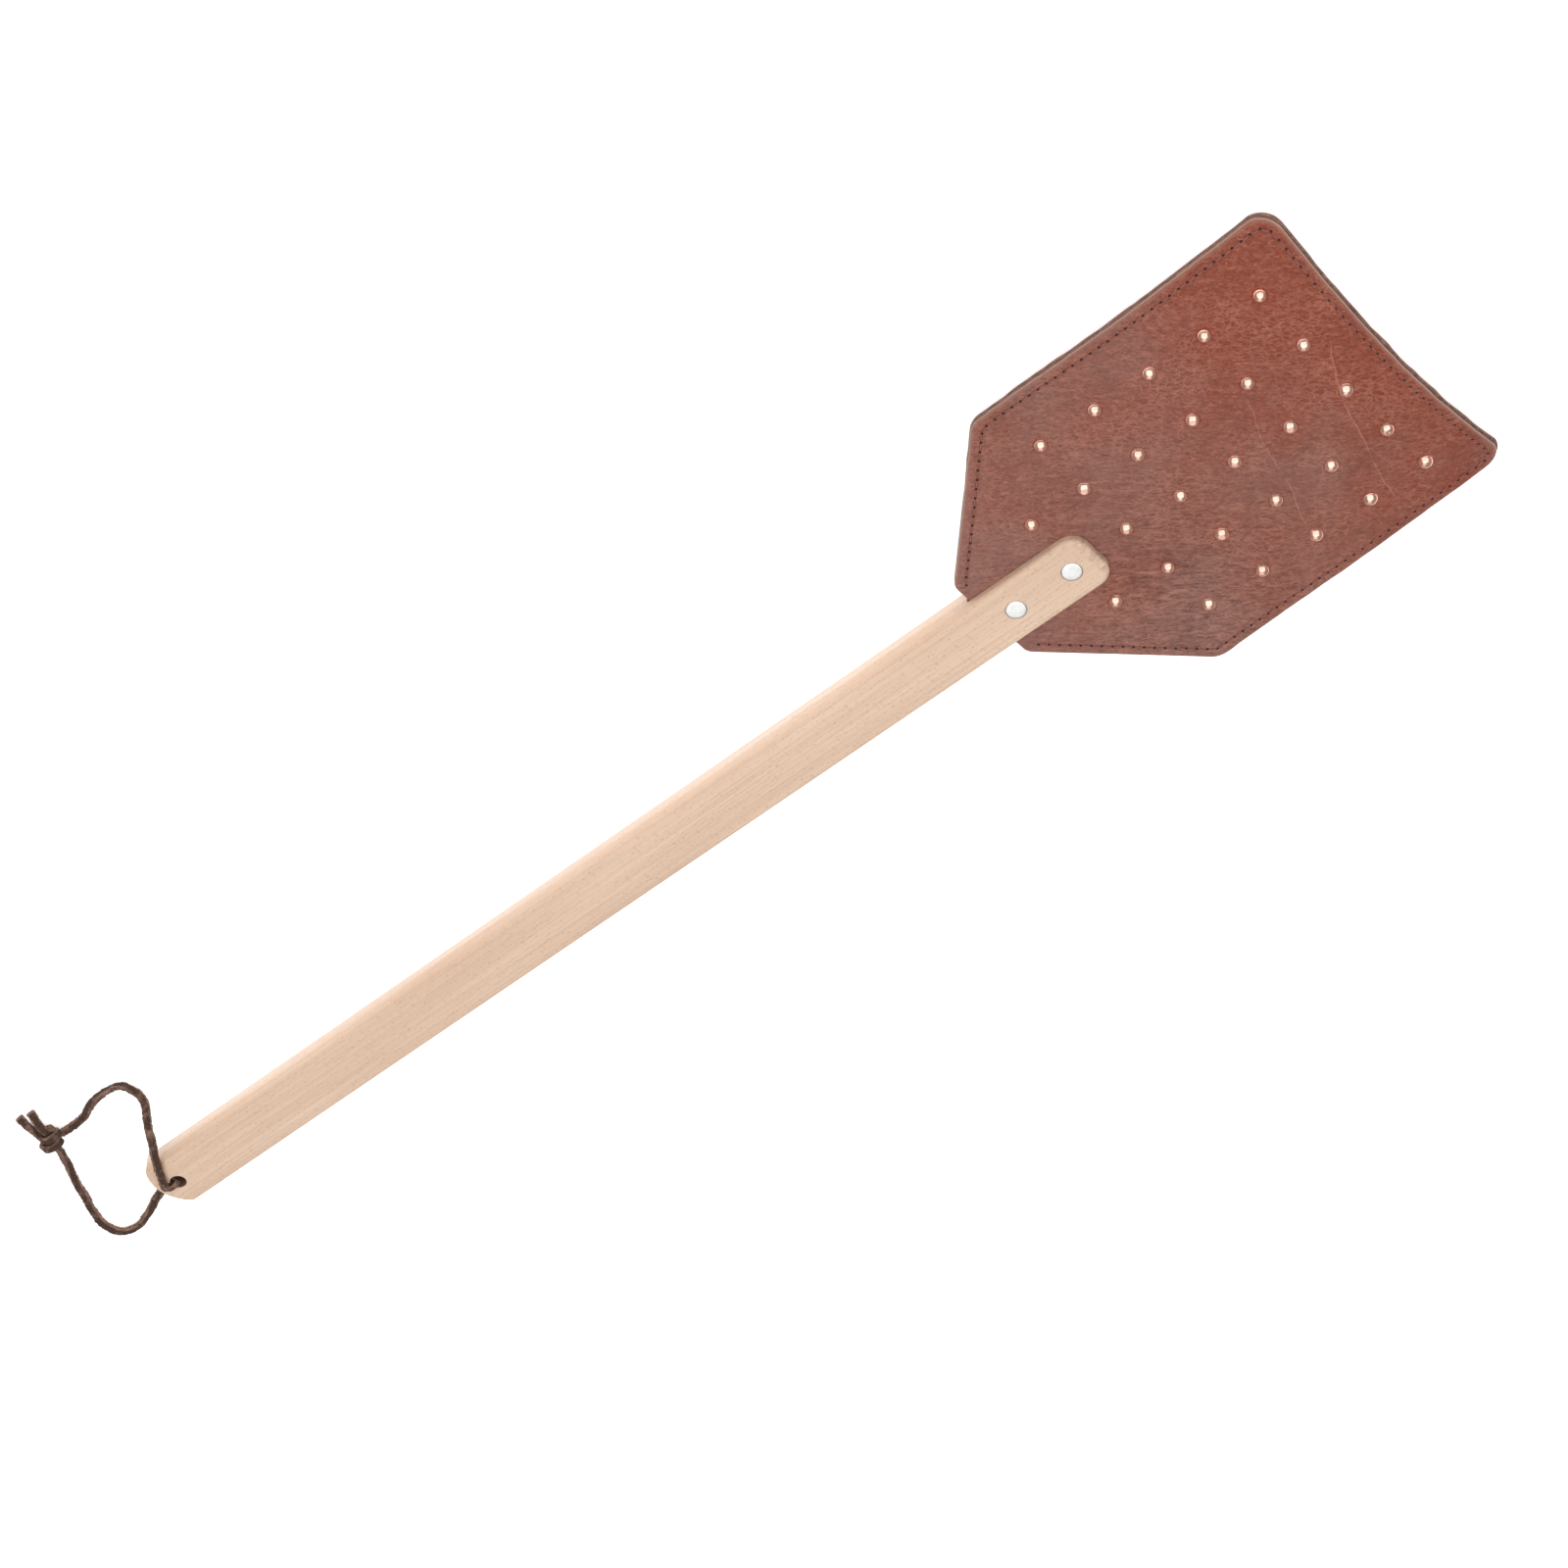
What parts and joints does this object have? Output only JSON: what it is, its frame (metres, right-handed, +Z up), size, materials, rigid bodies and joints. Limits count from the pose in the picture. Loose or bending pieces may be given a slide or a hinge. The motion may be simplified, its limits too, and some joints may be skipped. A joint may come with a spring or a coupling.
{
  "type": "fly swatter",
  "caption": "Fly swatter with a sewn leather flap riveted into a slotted beech stick, copper studs and a leather hanging lace.",
  "frame": {"origin": "on the table, under the middle of the stick and flap together", "axes": "+X from the butt of the stick to the far edge of the flap, +Y across the flap, +Z up out of the studded front"},
  "size_m": [0.4929, 0.106, 0.0141],
  "materials": {
    "beech": "sanded and lightly oiled beech",
    "aluminium": "bright, flush-set",
    "leather": "smooth reddish brown leather with a fine grain",
    "thread": "dark brown sewing thread",
    "copper": "bright copper",
    "lace": "dark brown suede lace with paler cut edges"
  },
  "bodies": {
    "stick": {"handle": "beech", "rivet_tip": "aluminium", "rivet_inner": "aluminium", "leather_front_root": "leather", "leather_back_root": "leather", "seam_root": "thread", "lace_in_hole": "lace", "lace_front": "lace", "lace_back": "lace", "lace_knot": "lace", "stud_neck_left": "copper", "stud_neck_right": "copper"},
    "flap": {"leather_front_flap": "leather", "leather_back_flap": "leather", "seam_flap": "thread", "stud_1_1": "copper", "stud_1_2": "copper", "stud_1_3": "copper", "stud_1_4": "copper", "stud_1_5": "copper", "stud_2_1": "copper", "stud_2_2": "copper", "stud_2_3": "copper", "stud_2_4": "copper", "stud_2_5": "copper", "stud_3_1": "copper", "stud_3_2": "copper", "stud_3_3": "copper", "stud_3_4": "copper", "stud_3_5": "copper", "stud_4_1": "copper", "stud_4_2": "copper", "stud_4_3": "copper", "stud_4_4": "copper", "stud_4_5": "copper", "stud_5_1": "copper", "stud_5_2": "copper", "stud_5_3": "copper", "stud_5_4": "copper", "stud_5_5": "copper"}
  },
  "joints": [
    {"name": "flap_flex", "type": "hinge", "parent": "stick", "child": "flap", "pos_m": [0.137, 0, 0.0067], "axis": [0, -1, 0], "range_deg": [-25, 25], "stiffness_Nm_per_rad": 0.6, "springref_deg": -2.01}
  ]
}
